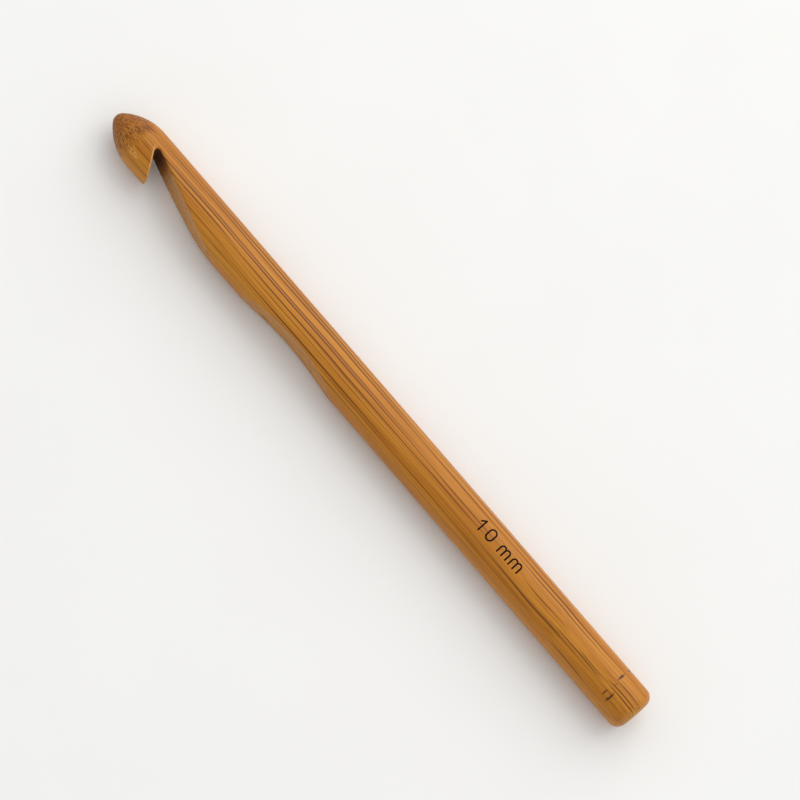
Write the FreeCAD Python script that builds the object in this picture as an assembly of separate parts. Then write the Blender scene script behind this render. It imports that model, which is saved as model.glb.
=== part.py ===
"""Bamboo crochet hook, size 10 mm, with a tapered throat and a ground thumb rest.

The hook is carved from one straight bamboo rod. Its size is burned into the rod, and the char at
the bottom of the burned grooves is the second node.

Frame, in millimetres: +X runs along the rod from the butt to the nose, +Y is where the mouth and
the thumb rest face, and +Z is up. The hook lies on its side on the plane Z = 0, and the origin is
on that plane, below the middle of the hook's length.

Everything is drawn on the rod's axis first, as (along, out, up): "along" is measured from the
butt's end face, "out" from the axis towards the mouth's side, and "up" from the axis.
"""

import FreeCAD
import Part
import math
import os

# ---- Driving dimensions, in millimetres and degrees ----

# Rod
rod_diameter = 10.0  # the size that the hook is sold by
overall_length = 157.0

# Nose: a small round tip, and a long arc that leaves the rod's side with no edge
nose_length = 9.0
nose_tip_radius = 2.0

# Butt
butt_edge_radius = 2.2

# Mouth: an undercut lip, a narrow root, a straight throat and a soft shoulder
lip_setback = 14.3  # nose tip to lip point, along the rod
lip_lean = 38.0  # how far the lip's inner face leans over the mouth
neck_thickness = 4.0  # wood between the mouth's root and the back of the rod
root_radius = 0.7  # between the lip's inner face and the throat
throat_angle = 15.4  # the throat's rise towards the butt
shoulder_radius = 50.0  # between the throat and the full rod
shoulder_exit_angle = 5.0  # the shoulder's slope where it leaves the rod's surface
mouth_edge_radius = 0.4  # sanded, so that yarn doesn't catch

# Thumb rest: a shallow hollow, ground across the rod by a wheel
thumb_rest_setback = 56.5  # nose tip to the middle of the hollow
thumb_rest_depth = 1.75
grinding_wheel_radius = 55.0
thumb_rest_edge_radius = 0.4

# Size mark: grooves burned into the rod, with char at the bottom
figure_height = 2.55
figure_width = 1.6
small_letter_height = 1.85
small_letter_width = 2.4
glyph_gap = 1.0
word_gap = 2.2
mark_stroke_width = 0.36
mark_groove_depth = 0.2
char_thickness = 0.1
mark_end_from_butt = 36.8  # the end of the last letter
mark_baseline_out = 0.7  # the feet of the characters

# ---- Worked out from them ----

rod_radius = rod_diameter / 2
clear_of_rod = rod_diameter  # how far a cutter starts or ends from the rod's axis
root_out = neck_thickness - rod_radius

ALONG = FreeCAD.Vector(1, 0, 0)
UP = FreeCAD.Vector(0, 0, 1)


def at(along, out, up=0.0):
    """A point on the hook, by its distances along, out and up."""
    return FreeCAD.Vector(along, out, up)


def line(start, end):
    return Part.LineSegment(start, end).toShape()


def arc(centre, radius, start_angle, end_angle):
    """An arc whose angles are in degrees, anticlockwise from the way to the nose."""
    angles = (start_angle, (start_angle + end_angle) / 2, end_angle)
    on_arc = [at(math.cos(a), math.sin(a)) * radius for a in map(math.radians, angles)]
    return Part.Arc(*(centre + point for point in on_arc)).toShape()


def closed_outline(edges):
    """One closed wire: straight lines fill the gaps from each edge's end to the next one's start."""
    outline = []
    for edge, following in zip(edges, edges[1:] + edges[:1]):
        end = edge.valueAt(edge.LastParameter)
        start = following.valueAt(following.FirstParameter)
        outline.append(edge)
        if not end.isEqual(start, 1e-6):
            outline.append(line(end, start))
    return Part.Wire(outline)


# ---- The turned rod ----


def turned_rod():
    """The round rod with its rounded butt and its nose.

    Its outline is drawn on the back of the rod, so that the turned surface's seam runs along the
    back, clear of the mouth and the thumb rest.
    """
    # The nose's long arc is tangent to the rod's side and to the tip's arc, which sets its radius.
    reach = nose_length - nose_tip_radius
    narrowing = rod_radius - nose_tip_radius
    side_radius = (reach**2 / narrowing + rod_radius + nose_tip_radius) / 2
    side_centre = at(overall_length - nose_length, side_radius - rod_radius)
    tip_centre = at(overall_length - nose_tip_radius, 0)
    tangent_angle = math.degrees(math.atan2(side_radius - rod_radius, reach))
    butt_centre = at(butt_edge_radius, butt_edge_radius - rod_radius)

    outline = closed_outline(
        [
            arc(butt_centre, butt_edge_radius, -180, -90),
            arc(side_centre, side_radius, -90, -tangent_angle),
            arc(tip_centre, nose_tip_radius, -tangent_angle, 0),
            line(at(overall_length, 0), at(0, 0)),
        ]
    )
    return Part.Face(outline).revolve(at(0, 0), ALONG, 360)


# ---- What the carver takes away ----


def mouth_cutter():
    """The space that yarn lies in, from the lip's inner face to the shoulder."""
    lean = math.radians(lip_lean)
    rise = math.radians(throat_angle)
    leave = math.radians(shoulder_exit_angle)

    # The root's arc is tangent to the lip's inner face and to the throat.
    lip_point = at(overall_length - lip_setback, rod_radius)
    root_out_of_centre = root_out + root_radius
    root_along = (
        lip_point.x
        + (rod_radius - root_out_of_centre) * math.tan(lean)
        - root_radius / math.cos(lean)
    )
    root_centre = at(root_along, root_out_of_centre)

    # The shoulder's arc is tangent to the throat and crosses the rod's surface at its own angle.
    shoulder_centre_out = rod_radius - shoulder_radius * math.cos(leave)
    centre_rise = root_out_of_centre - shoulder_centre_out
    shoulder_centre_along = (
        root_along
        - ((root_radius + shoulder_radius) - centre_rise * math.cos(rise)) / math.sin(rise)
    )
    shoulder_centre = at(shoulder_centre_along, shoulder_centre_out)

    profile = closed_outline(
        [
            arc(root_centre, root_radius, lip_lean, -90 - throat_angle),
            arc(shoulder_centre, shoulder_radius, 90 - throat_angle, 90),
            line(
                at(shoulder_centre.x, clear_of_rod),
                at(lip_point.x - (clear_of_rod - rod_radius) * math.tan(lean), clear_of_rod),
            ),
        ]
    )
    cutter = Part.Face(profile).extrude(UP * (2 * clear_of_rod))
    cutter.translate(UP * -clear_of_rod)
    return cutter


def grinding_wheel():
    """The wheel that grinds the thumb rest, with its axle across the rod."""
    axle_out = rod_radius - thumb_rest_depth + grinding_wheel_radius
    width = 2 * clear_of_rod
    centre = at(overall_length - thumb_rest_setback, axle_out, -clear_of_rod)
    return Part.makeCylinder(grinding_wheel_radius, width, centre, UP)


def carved(wood, cutter, edge_radius):
    """The wood less the cutter, with the edges between the cut and the old surface rounded."""
    rest = wood.cut(cutter)
    rim = [e for e in rest.Edges if lies_on(e, cutter) and lies_on(e, wood)]
    return rest.makeFillet(edge_radius, rim)


def lies_on(edge, solid):
    """Whether an edge's middle lies on the skin of a solid."""
    middle = Part.Vertex(edge.valueAt((edge.FirstParameter + edge.LastParameter) / 2))
    return min(face.distToShape(middle)[0] for face in solid.Faces) < 1e-5


# ---- The burned size mark ----
# Each glyph is a width and a few pen strokes, with x along the line and y up from its foot.


def figure_one():
    """A stem with a flag that slopes down to the left."""
    flag = at(0, figure_height - figure_width / 2)
    top = at(figure_width / 2, figure_height)
    foot = at(figure_width / 2, 0)
    return figure_width, [[line(flag, top), line(top, foot)]]


def figure_nought():
    """An upright oval, drawn as its left half and its right half."""
    radius = figure_width / 2
    low = at(radius, radius)
    high = at(radius, figure_height - radius)
    strokes = []
    for side, bottom in ((180, 270), (0, -90)):
        across = at(math.cos(math.radians(side)), 0) * radius
        straight = line(high + across, low + across)
        strokes.append([arc(high, radius, 90, side), straight, arc(low, radius, side, bottom)])
    return figure_width, strokes


def letter_m():
    """Two arches that share the middle stem."""
    radius = small_letter_width / 4
    spring = small_letter_height - radius
    strokes = []
    for left in (0, 2 * radius):
        right = left + 2 * radius
        up_stem = line(at(left, 0), at(left, spring))
        down_stem = line(at(right, spring), at(right, 0))
        strokes.append([up_stem, arc(at(left + radius, spring), radius, 180, 0), down_stem])
    return small_letter_width, strokes


def pen_strokes(strokes):
    """The upright solid that a glyph's strokes cover, from the rod's axis up past its surface."""
    pens = [Part.Wire(stroke).makeOffset2D(mark_stroke_width / 2, 0, True) for stroke in strokes]
    first, *others = [pen.extrude(UP * clear_of_rod) for pen in pens]
    return first.fuse(others).removeSplitter() if others else first


def size_mark_strokes():
    """The upright solids of the mark's characters, where they cross the rod.

    The line reads from the nose's side to the butt's, with the characters' feet to the mouth's side.
    """
    glyphs = [figure_one(), figure_nought(), letter_m(), letter_m()]
    gaps = [glyph_gap, word_gap, glyph_gap]
    line_width = sum(width for width, _ in glyphs) + sum(gaps)

    solids = []
    left = mark_end_from_butt + line_width
    for (width, strokes), gap in zip(glyphs, gaps + [0.0]):
        solid = pen_strokes(strokes)
        solid.rotate(at(0, 0), UP, 180)
        solid.translate(at(left, mark_baseline_out))
        solids.append(solid)
        left -= width + gap
    return solids


def rod_core(depth):
    """What lies deeper in the full rod than a depth below its surface."""
    return Part.makeCylinder(rod_radius - depth, overall_length, at(0, 0), ALONG)


# ---- The nodes ----


def bamboo_rod():
    wood = carved(turned_rod(), mouth_cutter(), mouth_edge_radius)
    wood = carved(wood, grinding_wheel(), thumb_rest_edge_radius)
    core = rod_core(mark_groove_depth)
    return wood.cut([strokes.cut(core) for strokes in size_mark_strokes()])


def size_mark():
    """One solid of char for each character."""
    char_layer = rod_core(mark_groove_depth - char_thickness).cut(rod_core(mark_groove_depth))
    return Part.makeCompound([strokes.common(char_layer) for strokes in size_mark_strokes()])


def export(node, shape):
    """Writes a node's STEP file, moved onto the hook's own frame."""
    shape.translate(FreeCAD.Vector(-overall_length / 2, 0, rod_radius))
    shape.exportStep(os.path.join("parts", node + ".step"))


os.makedirs("parts", exist_ok=True)
export("bamboo_rod", bamboo_rod())
export("size_mark", size_mark())
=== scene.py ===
"""A 10 mm crochet hook turned from one carbonised bamboo rod, with its size burnt into the shaft.

The row frame has +X from the butt to the nose, +Y towards the side with the mouth and the thumb
rest, and +Z up from the surface that the hook lies on. Objects are in metres. The bamboo is drawn
in the solid, as the plant grows it, in mm, so that the same bundles of fibre run along the shaft
as lines and come out on the nose and on the butt as dots.
"""

from math import cos, radians, sin

import bpy
from mathutils import Matrix, Vector


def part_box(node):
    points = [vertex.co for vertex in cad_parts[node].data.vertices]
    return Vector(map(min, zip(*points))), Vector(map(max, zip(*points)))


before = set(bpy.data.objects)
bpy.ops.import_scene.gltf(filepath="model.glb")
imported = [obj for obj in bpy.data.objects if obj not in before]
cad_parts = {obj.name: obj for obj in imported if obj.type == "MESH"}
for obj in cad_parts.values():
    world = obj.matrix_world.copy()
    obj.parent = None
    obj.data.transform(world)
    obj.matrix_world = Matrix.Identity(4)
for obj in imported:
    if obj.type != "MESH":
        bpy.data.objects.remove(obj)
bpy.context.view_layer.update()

MM = 0.001

rod_low, rod_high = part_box("bamboo_rod")
mark_low, mark_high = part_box("size_mark")

# the hook's sizes in mm, and where its mark starts and ends, in mm from the butt
rod_length = (rod_high.x - rod_low.x) / MM
rod_radius = (rod_high.z - rod_low.z) / 2 / MM
mark_first = (mark_low.x - rod_low.x) / MM
mark_last = (mark_high.x - rod_low.x) / MM


# ---------------------------------------------------------------- colours and nodes

def linear(colour):
    """The sRGB colour #rrggbb as the linear colour that shaders work in."""
    parts = [int(colour[i:i + 2], 16) / 255 for i in (1, 3, 5)]
    light = [part / 12.92 if part <= 0.04045 else ((part + 0.055) / 1.055) ** 2.4 for part in parts]
    return (*light, 1.0)


def add(tree, kind, inputs=None, **settings):
    """Adds a node. Each input is a value, or the socket that it is linked from."""
    made = tree.nodes.new(kind)
    for name, value in settings.items():
        setattr(made, name, value)
    for socket, value in (inputs or {}).items():
        if isinstance(value, bpy.types.NodeSocket):
            tree.links.new(value, made.inputs[socket])
        else:
            made.inputs[socket].default_value = value
    return made.outputs


def new_material(name):
    """An empty material, and its node tree."""
    made = bpy.data.materials.new(name)
    made.use_nodes = True
    made.node_tree.nodes.clear()
    return made, made.node_tree


# ---------------------------------------------------------------- marks in the bamboo
# Lengths are in mm, along the rod from the butt and across it from its axis.

# Bundles of fibre that the turned surface cuts along, which show as dark lines.
# degrees round the rod from +Y towards +Z, first and last mm from the butt,
# half width in mm, how dark from 0 to 1
FIBRE_LINES = (
    # along the shaft, from its back to its mouth side
    (146.0, 50, 160, 0.34, 0.90),
    (133.5, 44, 160, 0.36, 1.00),
    (122.0, 46, 164, 0.29, 1.00),
    (103.0, 54, 152, 0.20, 0.95),
    (97.0, 50, 152, 0.24, 1.00),
    (83.0, 46, 140, 0.21, 1.00),
    (72.0, 56, 132, 0.17, 0.60),
    (55.0, 64, 128, 0.23, 1.00),
    (38.0, 60, 120, 0.20, 0.55),
    # past the thumb rest to the head
    (97.5, 112, 156, 0.23, 1.00),
    (87.5, 116, 150, 0.21, 1.00),
    (84.0, 145.5, 151.5, 0.18, 0.90),
    (89.0, 146, 151, 0.16, 0.80),
    (122.0, 132, 149, 0.26, 0.85),
    (123.0, 148, 153.5, 0.36, 1.00),
    (115.0, 148.5, 154, 0.32, 1.00),
    (129.5, 149.5, 155, 0.32, 0.95),
    # beside the size mark
    (140.0, 16, 74, 0.32, 0.90),
    (122.0, 34, 78, 0.26, 0.95),
    (95.5, 38, 68, 0.19, 0.95),
    (85.0, 42, 72, 0.19, 0.95),
    (87.0, 21, 37, 0.18, 0.90),
    (61.5, 8, 52, 0.24, 1.00),
    (44.0, 22, 58, 0.17, 0.50),
    # at the butt
    (124.5, 3, 48, 0.32, 1.00),
    (113.5, 6, 46, 0.23, 1.00),
    (70.5, 7, 27, 0.20, 1.00),
    (75.5, 8, 19, 0.17, 0.80),
    (33.5, 9, 24, 0.24, 0.80),
    (97.0, -1, 9, 0.20, 1.00),
    (84.0, -2, 11, 0.22, 1.00),
    (76.0, -3, 10, 0.21, 1.00),
    (52.5, 1, 8, 0.18, 0.60),
    (121.0, -0.8, 1.2, 0.34, 0.90),
    (42.0, -0.8, 1.2, 0.34, 0.90),
    # round the back and underneath
    (160.0, -4, 90, 0.22, 0.90),
    (171.0, 30, 150, 0.19, 1.00),
    (184.0, -2, 120, 0.22, 1.00),
    (196.0, 60, 160, 0.20, 0.90),
    (213.0, 8, 96, 0.21, 1.00),
    (228.0, 40, 158, 0.22, 1.00),
    (249.0, -3, 70, 0.19, 0.80),
    (264.0, 50, 150, 0.21, 0.95),
    (287.0, 4, 110, 0.20, 0.80),
    (311.0, 20, 98, 0.21, 0.85),
    (338.0, -2, 84, 0.19, 0.75),
)

# The scar of a growth ring near the butt: short marks across the fibres, given in the same way.
RING_SCAR = (
    (111.0, 7.30, 7.95, 1.60, 0.90),
    (57.5, 5.80, 6.60, 1.75, 0.90),
    (57.5, 7.20, 7.80, 1.20, 0.70),
    (88.0, 6.85, 7.35, 0.70, 0.40),
    (150.0, 7.10, 7.75, 1.30, 0.75),
    (187.0, 6.45, 7.15, 1.50, 0.85),
    (232.0, 7.25, 7.90, 1.30, 0.80),
    (285.0, 6.75, 7.40, 1.60, 0.80),
    (333.0, 6.25, 6.90, 1.20, 0.75),
)

# Where yarn has rubbed the turned surface pale beside the lip, given in the same way.
RUBBED_PATCH = ((48.6, 146.8, 152.0, 0.75, 0.60),)

# every mark is darkest at the surface and ends this far below it
MARK_DEPTH = 0.9
# the share of a mark, from its middle, that is as dark as it gets
EVEN_CORE = 0.35

# the lip of the mouth: nose tip to lip point, and how its inner face leans, in degrees
LIP_SETBACK = 14.3
LIP_LEAN = 38.0

# the nose's turned surface starts to cut across the fibres here
nose_start = rod_length - 8.0


def marks_in_solid(tree, place, marks):
    """Long narrow ellipsoids in the bamboo, dark at the middle of each and 0 outside them."""
    total = None
    for angle, first, last, half_width, dark in marks:
        turn = radians(angle)
        middle = ((first + last) / 2, rod_radius * cos(turn), rod_radius * sin(turn))
        inside = add(tree, "ShaderNodeMapping",
                     {"Vector": place, "Location": middle, "Rotation": (turn, 0, 0),
                      "Scale": ((last - first) / 2, MARK_DEPTH, half_width)},
                     vector_type="TEXTURE")[0]
        far = add(tree, "ShaderNodeVectorMath", {0: inside}, operation="LENGTH")["Value"]
        one = add(tree, "ShaderNodeMapRange",
                  {"Value": far, "From Min": EVEN_CORE, "From Max": 1.0,
                   "To Min": dark, "To Max": 0.0}, interpolation_type="SMOOTHSTEP")[0]
        if total is None:
            total = one
        else:
            total = add(tree, "ShaderNodeMath", {0: total, 1: one}, operation="MAXIMUM")[0]
    return total


def ring_scar(tree, place):
    """The growth ring's scar, with ragged outlines."""
    tear_size = 1.11
    tear_reach = (0.9, 0.8, 0.8)
    ragged = add(tree, "ShaderNodeTexNoise",
                 {"Vector": place, "Scale": 1 / tear_size, "Detail": 2.0})["Color"]
    torn = add(tree, "ShaderNodeVectorMath",
               {0: ragged, 1: tear_reach, 2: [-reach / 2 for reach in tear_reach]},
               operation="MULTIPLY_ADD")[0]
    torn_place = add(tree, "ShaderNodeVectorMath", {0: place, 1: torn}, operation="ADD")[0]
    return marks_in_solid(tree, torn_place, RING_SCAR)


# ---------------------------------------------------------------- the grain of the bamboo

def place_in_rod(tree):
    """Where a point lies, in mm: along the rod from the butt, and across it from its axis."""
    coords = add(tree, "ShaderNodeTexCoord")["Object"]
    butt_on_axis = Vector((rod_low.x / MM, 0, rod_radius))
    return add(tree, "ShaderNodeVectorMath", {0: coords, 1: (1 / MM,) * 3, 2: -butt_on_axis},
               operation="MULTIPLY_ADD")[0]


def grown_place(tree, place, along):
    """The same place in the plant, whose fibres wander a little, most where they pass the ring."""
    bend_length = 16.67
    past_ring = 6.0
    straight_again = 40.0
    wander_at_ring = 1.1
    wander_on_shaft = 0.22
    waver = add(tree, "ShaderNodeTexNoise", {"W": along, "Scale": 1 / bend_length, "Detail": 1.0},
                noise_dimensions="1D")["Color"]
    centred = add(tree, "ShaderNodeVectorMath", {0: waver, 1: (0, 0.5, 0.5)},
                  operation="SUBTRACT")[0]
    wander = add(tree, "ShaderNodeMapRange",
                 {"Value": along, "From Min": past_ring, "From Max": straight_again,
                  "To Min": wander_at_ring, "To Max": wander_on_shaft},
                 interpolation_type="SMOOTHSTEP")[0]
    spread = add(tree, "ShaderNodeCombineXYZ", {1: wander, 2: wander})[0]
    return add(tree, "ShaderNodeVectorMath", {0: centred, 1: spread, 2: place},
               operation="MULTIPLY_ADD")[0]


def coarse_bundles(tree, place, section, on_nose):
    """Bundles 0.2 to 0.5 mm thick, faint on the shaft, where they come and go, and dark on the nose."""
    bundle_spacing = 0.87
    patch_size = (40.0, 1.25, 1.25)
    darkest_on_shaft = 0.40
    off_middle = add(tree, "ShaderNodeTexVoronoi",
                     {"Vector": section, "Scale": 1 / bundle_spacing, "Randomness": 0.9},
                     voronoi_dimensions="2D")["Distance"]
    bundle = add(tree, "ShaderNodeMapRange",
                 {"Value": off_middle, "From Min": 0.12, "From Max": 0.28,
                  "To Min": 1.0, "To Max": 0.0}, interpolation_type="SMOOTHSTEP")[0]
    patch_place = add(tree, "ShaderNodeVectorMath", {0: place, 1: patch_size},
                      operation="DIVIDE")[0]
    patches = add(tree, "ShaderNodeTexNoise",
                  {"Vector": patch_place, "Scale": 1.0, "Detail": 1.0})[0]
    on_shaft = add(tree, "ShaderNodeMapRange",
                   {"Value": patches, "From Min": 0.42, "From Max": 0.64,
                    "To Min": 0.0, "To Max": darkest_on_shaft})[0]
    shown = add(tree, "ShaderNodeMath", {0: on_shaft, 1: on_nose}, operation="MAXIMUM")[0]
    return add(tree, "ShaderNodeMath", {0: bundle, 1: shown}, operation="MULTIPLY")[0]


def fine_pores(tree, section, on_nose):
    """The small pores between the bundles, which open on the nose."""
    pore_spacing = 0.526
    off_middle = add(tree, "ShaderNodeTexVoronoi",
                     {"Vector": section, "Scale": 1 / pore_spacing, "Randomness": 1.0},
                     voronoi_dimensions="2D")["Distance"]
    pore = add(tree, "ShaderNodeMapRange",
               {"Value": off_middle, "From Min": 0.10, "From Max": 0.38,
                "To Min": 1.0, "To Max": 0.0}, interpolation_type="SMOOTHSTEP")[0]
    return add(tree, "ShaderNodeMath", {0: pore, 1: on_nose}, operation="MULTIPLY")[0]


def bundles_and_pores(tree, place, along, towards_mouth, upwards):
    """Every bundle and pore that the lines leave out, 1 where one is darkest."""
    nose_cut_across = rod_length - 4.5
    darkest_on_nose = 0.62
    on_nose = add(tree, "ShaderNodeMapRange",
                  {"Value": along, "From Min": nose_start, "From Max": nose_cut_across,
                   "To Min": 0.0, "To Max": darkest_on_nose}, interpolation_type="SMOOTHSTEP")[0]
    section = add(tree, "ShaderNodeCombineXYZ", {0: towards_mouth, 1: upwards})[0]
    coarse = coarse_bundles(tree, place, section, on_nose)
    fine = fine_pores(tree, section, on_nose)
    return add(tree, "ShaderNodeMath", {0: coarse, 1: fine}, operation="MAXIMUM")[0]


def fibre_threads(tree, grown):
    """Threads of fibre. The real ones are finer: they are drawn 0.2 mm wide so that they show."""
    thread_size = (16.67, 0.2, 0.2)
    thread_place = add(tree, "ShaderNodeVectorMath", {0: grown, 1: thread_size},
                       operation="DIVIDE")[0]
    return add(tree, "ShaderNodeTexNoise", {"Vector": thread_place, "Scale": 1.0, "Detail": 3.0})[0]


def ground_colour(tree, grown):
    """Caramel, browned deeper in some bands than in others."""
    band_size = (83.3, 2.22, 2.22)
    band_place = add(tree, "ShaderNodeVectorMath", {0: grown, 1: band_size},
                     operation="DIVIDE")[0]
    bands = add(tree, "ShaderNodeTexNoise", {"Vector": band_place, "Scale": 1.0, "Detail": 2.0})[0]
    browning = add(tree, "ShaderNodeMapRange",
                   {"Value": bands, "From Min": 0.35, "From Max": 0.65})[0]
    return add(tree, "ShaderNodeMix", {0: browning, 6: linear("#cb8727"), 7: linear("#b56f10")},
               data_type="RGBA")[2]


# ---------------------------------------------------------------- what was done to the bamboo

def cut_into(tree, from_axis):
    """1 on the faces of the mouth and the thumb rest, the nose and the butt, 0 on the round side."""
    skin = 0.10
    well_in = 0.45
    return add(tree, "ShaderNodeMapRange",
               {"Value": from_axis, "From Min": rod_radius - well_in,
                "From Max": rod_radius - skin, "To Min": 1.0, "To Max": 0.0},
               interpolation_type="SMOOTHSTEP")[0]


def darkened_threads(tree, threads, cut_in):
    """How dark the threads are: more on the cut faces than on the round side."""
    on_round_side = 0.50
    times_on_cuts = 2.5
    dark = add(tree, "ShaderNodeMapRange",
               {"Value": threads, "From Min": 0.42, "From Max": 0.66,
                "To Min": 0.0, "To Max": on_round_side})[0]
    stronger = add(tree, "ShaderNodeMapRange",
                   {"Value": cut_in, "To Min": 1.0, "To Max": times_on_cuts})[0]
    return add(tree, "ShaderNodeMath", {0: dark, 1: stronger}, operation="MULTIPLY",
               use_clamp=True)[0]


def browned_nose(tree, along):
    """The nose, turned across the grain, took the browning deeper."""
    brownest_at = rod_length - 1.0
    brownest = 0.55
    return add(tree, "ShaderNodeMapRange",
               {"Value": along, "From Min": nose_start, "From Max": brownest_at,
                "To Min": 0.0, "To Max": brownest}, interpolation_type="SMOOTHSTEP")[0]


def sanded_faces_and_painted_reflection(tree, along, cut_in):
    """The sanded faces behind the nose are paler than the turned surface: partly the sanding, partly a
    painted reflection of the pale floor, which these faces look down towards.
    """
    fades_over = 1.5
    palest = 0.22
    behind_nose = add(tree, "ShaderNodeMapRange",
                      {"Value": along, "From Min": nose_start - fades_over,
                       "From Max": nose_start, "To Min": palest, "To Max": 0.0})[0]
    return add(tree, "ShaderNodeMath", {0: cut_in, 1: behind_nose}, operation="MULTIPLY")[0]


def root_painted_shade(tree, place, cut_in):
    """Painted shade at the root of the mouth: the crease where the mouth is deepest is darkened in the
    colour.
    """
    root_middle = (rod_length - 11.0, -0.6, 0)
    shade_reach = (7.6, 2.1, 40.0)
    darkest = 0.88
    root = add(tree, "ShaderNodeMapping",
               {"Vector": place, "Location": root_middle, "Scale": shade_reach},
               vector_type="TEXTURE")[0]
    far = add(tree, "ShaderNodeVectorMath", {0: root}, operation="LENGTH")["Value"]
    near = add(tree, "ShaderNodeMapRange",
               {"Value": far, "From Min": 0.1, "From Max": 1.0, "To Min": darkest, "To Max": 0.0},
               interpolation_type="SMOOTHSTEP")[0]
    return add(tree, "ShaderNodeMath", {0: cut_in, 1: near}, operation="MULTIPLY")[0]


def lip_edge_painted_highlight(tree, place, towards_mouth, cut_in):
    """A painted highlight: a pale line along the edge of the lip, where the rounded edge catches light.
    """
    edge_half_width = 0.30
    palest = 0.6
    starts_at = -1.2
    palest_from = 0.2
    lean = radians(LIP_LEAN)
    lip_at = (rod_length - LIP_SETBACK) * cos(lean) + rod_radius * sin(lean)
    from_lip = add(tree, "ShaderNodeVectorMath", {0: place, 1: (cos(lean), sin(lean), 0)},
                   operation="DOT_PRODUCT")["Value"]
    near_lip = add(tree, "ShaderNodeMath", {0: from_lip, 1: lip_at, 2: edge_half_width},
                   operation="COMPARE")[0]
    round_side = add(tree, "ShaderNodeMath", {0: 1.0, 1: cut_in}, operation="SUBTRACT")[0]
    on_edge = add(tree, "ShaderNodeMath", {0: near_lip, 1: round_side}, operation="MULTIPLY")[0]
    past_root = add(tree, "ShaderNodeMapRange",
                    {"Value": towards_mouth, "From Min": starts_at, "From Max": palest_from,
                     "To Min": 0.0, "To Max": palest})[0]
    return add(tree, "ShaderNodeMath", {0: on_edge, 1: past_root}, operation="MULTIPLY")[0]


def lip_highlight_and_rubbed_patch(tree, place, towards_mouth, cut_in):
    """A painted highlight along the edge of the lip, and the flecked patch beside it that yarn has
    rubbed pale.
    """
    fleck_size = 0.4545
    # the painted highlight along the lip's edge
    edge = lip_edge_painted_highlight(tree, place, towards_mouth, cut_in)
    patch = marks_in_solid(tree, place, RUBBED_PATCH)
    flecks = add(tree, "ShaderNodeTexNoise",
                 {"Vector": place, "Scale": 1 / fleck_size, "Detail": 2.0})[0]
    fleck_tone = add(tree, "ShaderNodeMapRange",
                     {"Value": flecks, "From Min": 0.42, "From Max": 0.58})[0]
    flecked = add(tree, "ShaderNodeMath", {0: patch, 1: fleck_tone}, operation="MULTIPLY")[0]
    return add(tree, "ShaderNodeMath", {0: edge, 1: flecked}, operation="MAXIMUM")[0]


def scorched_grooves(tree, along, from_axis):
    """The sides of the burnt strokes are scorched too."""
    skin = 0.03
    scorched_from = 0.07
    around_mark = 0.5
    in_groove = add(tree, "ShaderNodeMapRange",
                    {"Value": from_axis, "From Min": rod_radius - scorched_from,
                     "From Max": rod_radius - skin, "To Min": 1.0, "To Max": 0.0})[0]
    mark_middle = (mark_first + mark_last) / 2
    mark_half = (mark_last - mark_first) / 2 + around_mark
    at_mark = add(tree, "ShaderNodeMath", {0: along, 1: mark_middle, 2: mark_half},
                  operation="COMPARE")[0]
    return add(tree, "ShaderNodeMath", {0: in_groove, 1: at_mark}, operation="MULTIPLY")[0]


# ---------------------------------------------------------------- the two materials

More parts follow.
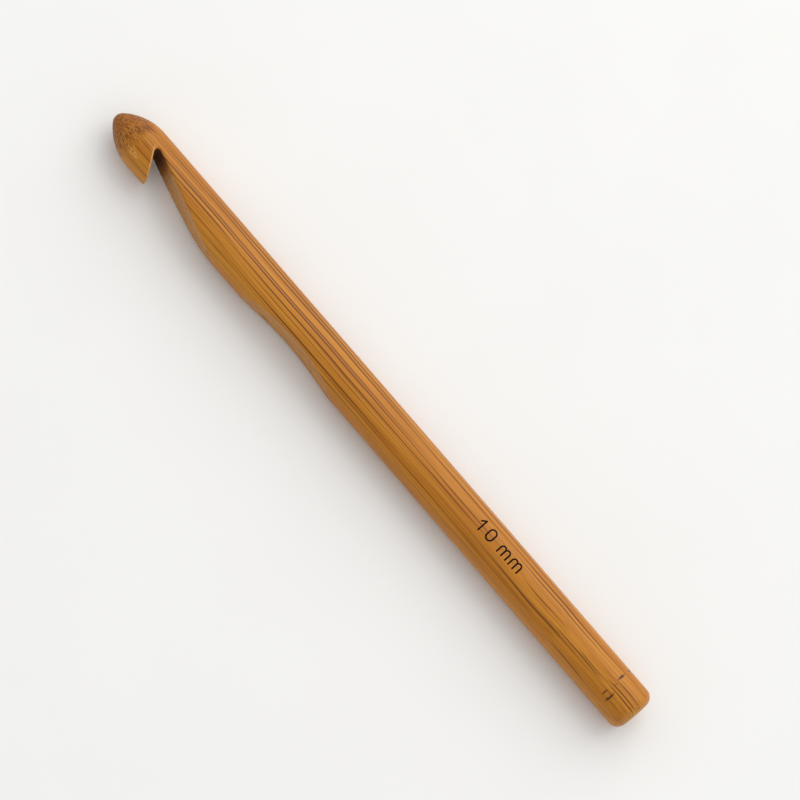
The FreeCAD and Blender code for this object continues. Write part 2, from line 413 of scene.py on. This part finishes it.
def carbonised_bamboo():
    """Bamboo steamed until its sugars brown right through, turned, sanded and satin lacquered.

    The eye gets a caramel ground with long dark lines, fine fibres between them, dark pores
    where the nose and the butt cut across the fibres, and a soft sheen.
    """
    made, tree = new_material("lacquered_carbonised_bamboo")
    place = place_in_rod(tree)
    along = add(tree, "ShaderNodeSeparateXYZ", {0: place})[0]
    grown = grown_place(tree, place, along)
    _, towards_mouth, upwards = add(tree, "ShaderNodeSeparateXYZ", {0: grown})
    across = add(tree, "ShaderNodeVectorMath", {0: place, 1: (0, 1, 1)}, operation="MULTIPLY")[0]
    from_axis = add(tree, "ShaderNodeVectorMath", {0: across}, operation="LENGTH")["Value"]
    cut_in = cut_into(tree, from_axis)

    dark_lines = marks_in_solid(tree, grown, FIBRE_LINES)
    scar = ring_scar(tree, place)
    bundles = bundles_and_pores(tree, place, along, towards_mouth, upwards)
    threads = fibre_threads(tree, grown)
    # painted shade, darkening the root of the mouth
    root_shade = root_painted_shade(tree, place, cut_in)

    # how much of each colour shows over the ones before it
    tones = (
        (darkened_threads(tree, threads, cut_in), "#905008"),
        (browned_nose(tree, along), "#84480a"),
        # paler cut faces: partly the sanding, partly a painted reflection of the floor
        (sanded_faces_and_painted_reflection(tree, along, cut_in), "#d6a452"),
        (bundles, "#4a2205"),
        (dark_lines, "#6e3a04"),
        (scar, "#3c1a04"),
        # the painted shade at the root of the mouth
        (root_shade, "#381400"),
        # a painted highlight along the lip's edge, and the patch that yarn rubbed pale beside it
        (lip_highlight_and_rubbed_patch(tree, place, towards_mouth, cut_in), "#e3ae6c"),
        (scorched_grooves(tree, along, from_axis), "#140704"),
    )
    colour = ground_colour(tree, grown)
    for shown, tone in tones:
        colour = add(tree, "ShaderNodeMix", {0: shown, 6: colour, 7: linear(tone)},
                     data_type="RGBA")[2]

    # the lacquer fills the long lines; the pores, the scar and the threads stay a little uneven
    pore_depth = 0.02 * MM
    sunk = add(tree, "ShaderNodeMath", {0: bundles, 1: scar}, operation="MAXIMUM")[0]
    relief = add(tree, "ShaderNodeMath", {0: sunk, 1: -1.0, 2: threads},
                 operation="MULTIPLY_ADD")[0]
    bump = add(tree, "ShaderNodeBump",
               {"Height": relief, "Strength": 0.5, "Distance": pore_depth})[0]
    # it doesn't reach the root of the mouth, which stays matt where the painted shade is
    lacquer = add(tree, "ShaderNodeMapRange",
                  {"Value": root_shade, "From Max": 0.5, "To Min": 0.12, "To Max": 0.0})[0]
    roughness = add(tree, "ShaderNodeMapRange",
                    {"Value": root_shade, "From Max": 0.5, "To Min": 0.45, "To Max": 1.0})[0]
    shader = add(tree, "ShaderNodeBsdfPrincipled",
                 {"Base Color": colour, "Roughness": roughness, "IOR": 1.5,
                  "Specular IOR Level": 0.24, "Coat Weight": lacquer, "Coat Roughness": 0.32,
                  "Normal": bump})[0]
    add(tree, "ShaderNodeOutputMaterial", {0: shader})
    return made


def bamboo_char():
    """Bamboo burnt by a hot stylus: matt near-black char with a brown edge and a crumbly grain."""
    crumb_size = 0.2 * MM
    crumb_height = 0.03 * MM
    made, tree = new_material("burnt_bamboo")
    coords = add(tree, "ShaderNodeTexCoord")["Object"]
    crumbs = add(tree, "ShaderNodeTexNoise",
                 {"Vector": coords, "Scale": 1 / crumb_size, "Detail": 3.0})[0]
    tone = add(tree, "ShaderNodeMix", {0: crumbs, 6: linear("#0d0403"), 7: linear("#200c07")},
               data_type="RGBA")[2]
    bump = add(tree, "ShaderNodeBump",
               {"Height": crumbs, "Strength": 0.6, "Distance": crumb_height})[0]
    shader = add(tree, "ShaderNodeBsdfPrincipled",
                 {"Base Color": tone, "Roughness": 0.9, "IOR": 1.45, "Specular IOR Level": 0.2,
                  "Normal": bump})[0]
    add(tree, "ShaderNodeOutputMaterial", {0: shader})
    return made


# ---------------------------------------------------------------- floor, light and camera

def matt_board():
    """A matt white studio board, sprayed: even, with the least grain."""
    cloud_size = 40 * MM
    made, tree = new_material("matt_white_board")
    coords = add(tree, "ShaderNodeTexCoord")["Object"]
    clouds = add(tree, "ShaderNodeTexNoise",
                 {"Vector": coords, "Scale": 1 / cloud_size, "Detail": 3.0})[0]
    tone = add(tree, "ShaderNodeMix", {0: clouds, 6: linear("#eeeeec"), 7: linear("#f3f3f1")},
               data_type="RGBA")[2]
    shader = add(tree, "ShaderNodeBsdfPrincipled",
                 {"Base Color": tone, "Roughness": 0.9, "Specular IOR Level": 0.2})[0]
    add(tree, "ShaderNodeOutputMaterial", {0: shader})
    return made


def floor():
    """The surface that the hook lies on."""
    half = 6.0
    corners = [(-half, -half, 0), (half, -half, 0), (half, half, 0), (-half, half, 0)]
    mesh = bpy.data.meshes.new("floor")
    mesh.from_pydata(corners, [], [(0, 1, 2, 3)])
    mesh.materials.append(matt_board())
    made = bpy.data.objects.new("floor", mesh)
    bpy.context.scene.collection.objects.link(made)


def soft_box():
    """A large square soft box above the hook, on the side of its back, which faces the hook."""
    towards_box = Vector((0.10, -0.74, 0.67)).normalized()
    distance = 1.0
    lamp = bpy.data.lights.new("soft_box", "AREA")
    lamp.shape = "SQUARE"
    lamp.size = 1.1
    lamp.energy = 5.2
    lamp.color = linear("#fffdf9")[:3]
    made = bpy.data.objects.new("soft_box", lamp)
    made.location = towards_box * distance
    made.rotation_mode = "QUATERNION"
    made.rotation_quaternion = (-towards_box).to_track_quat("-Z", "Y")
    made.visible_camera = False
    bpy.context.scene.collection.objects.link(made)


def surroundings():
    """White all round, dimmer on the mouth side."""
    bright, dim = 0.96, 0.46
    world = bpy.data.worlds.new("studio")
    world.use_nodes = True
    tree = world.node_tree
    tree.nodes.clear()
    facing = add(tree, "ShaderNodeTexCoord")["Generated"]
    sideways = add(tree, "ShaderNodeSeparateXYZ", {0: facing})[1]
    brightness = add(tree, "ShaderNodeMapRange",
                     {"Value": sideways, "From Min": -0.2, "From Max": 1.0,
                      "To Min": bright, "To Max": dim}, interpolation_type="SMOOTHSTEP")[0]
    sky = add(tree, "ShaderNodeBackground", {"Color": linear("#fbfbfc"), "Strength": brightness})[0]
    add(tree, "ShaderNodeOutputWorld", {0: sky})
    bpy.context.scene.world = world
    bpy.context.scene.view_settings.view_transform = "Standard"


def camera():
    """A long lens, almost straight above, tipped towards the side of the mouth."""
    tip = radians(14.0)
    turn = radians(49.1)
    seen_width = 158.4 * MM  # from side to side, at the middle of the rod
    seen_middle_along = -0.885 * MM
    seen_middle_aside = -5.59 * MM

    along = Vector((1, 0, 0))
    aside = Vector((0, cos(tip), -sin(tip)))
    back = Vector((0, sin(tip), cos(tip)))
    right = -cos(turn) * along - sin(turn) * aside
    up = sin(turn) * along - cos(turn) * aside
    rod_middle = Vector((0, 0, rod_radius * MM))
    middle = rod_middle + seen_middle_along * along + seen_middle_aside * aside

    lens = bpy.data.cameras.new("camera")
    lens.lens = 400.0
    lens.sensor_width = 36.0
    lens.clip_start = 0.01
    lens.clip_end = 20.0
    distance = seen_width * lens.lens / lens.sensor_width
    made = bpy.data.objects.new("camera", lens)
    facing = Matrix((right, up, back)).transposed().to_4x4()
    made.matrix_world = Matrix.Translation(middle + back * distance) @ facing
    bpy.context.scene.collection.objects.link(made)
    bpy.context.scene.camera = made


# ---------------------------------------------------------------- the hook

def finish_node(name, material):
    """Gives a piece of the CAD model its material."""
    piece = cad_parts[name]
    piece.data.materials.clear()
    piece.data.materials.append(material)


finish_node("bamboo_rod", carbonised_bamboo())
finish_node("size_mark", bamboo_char())
floor()
surroundings()
soft_box()
camera()
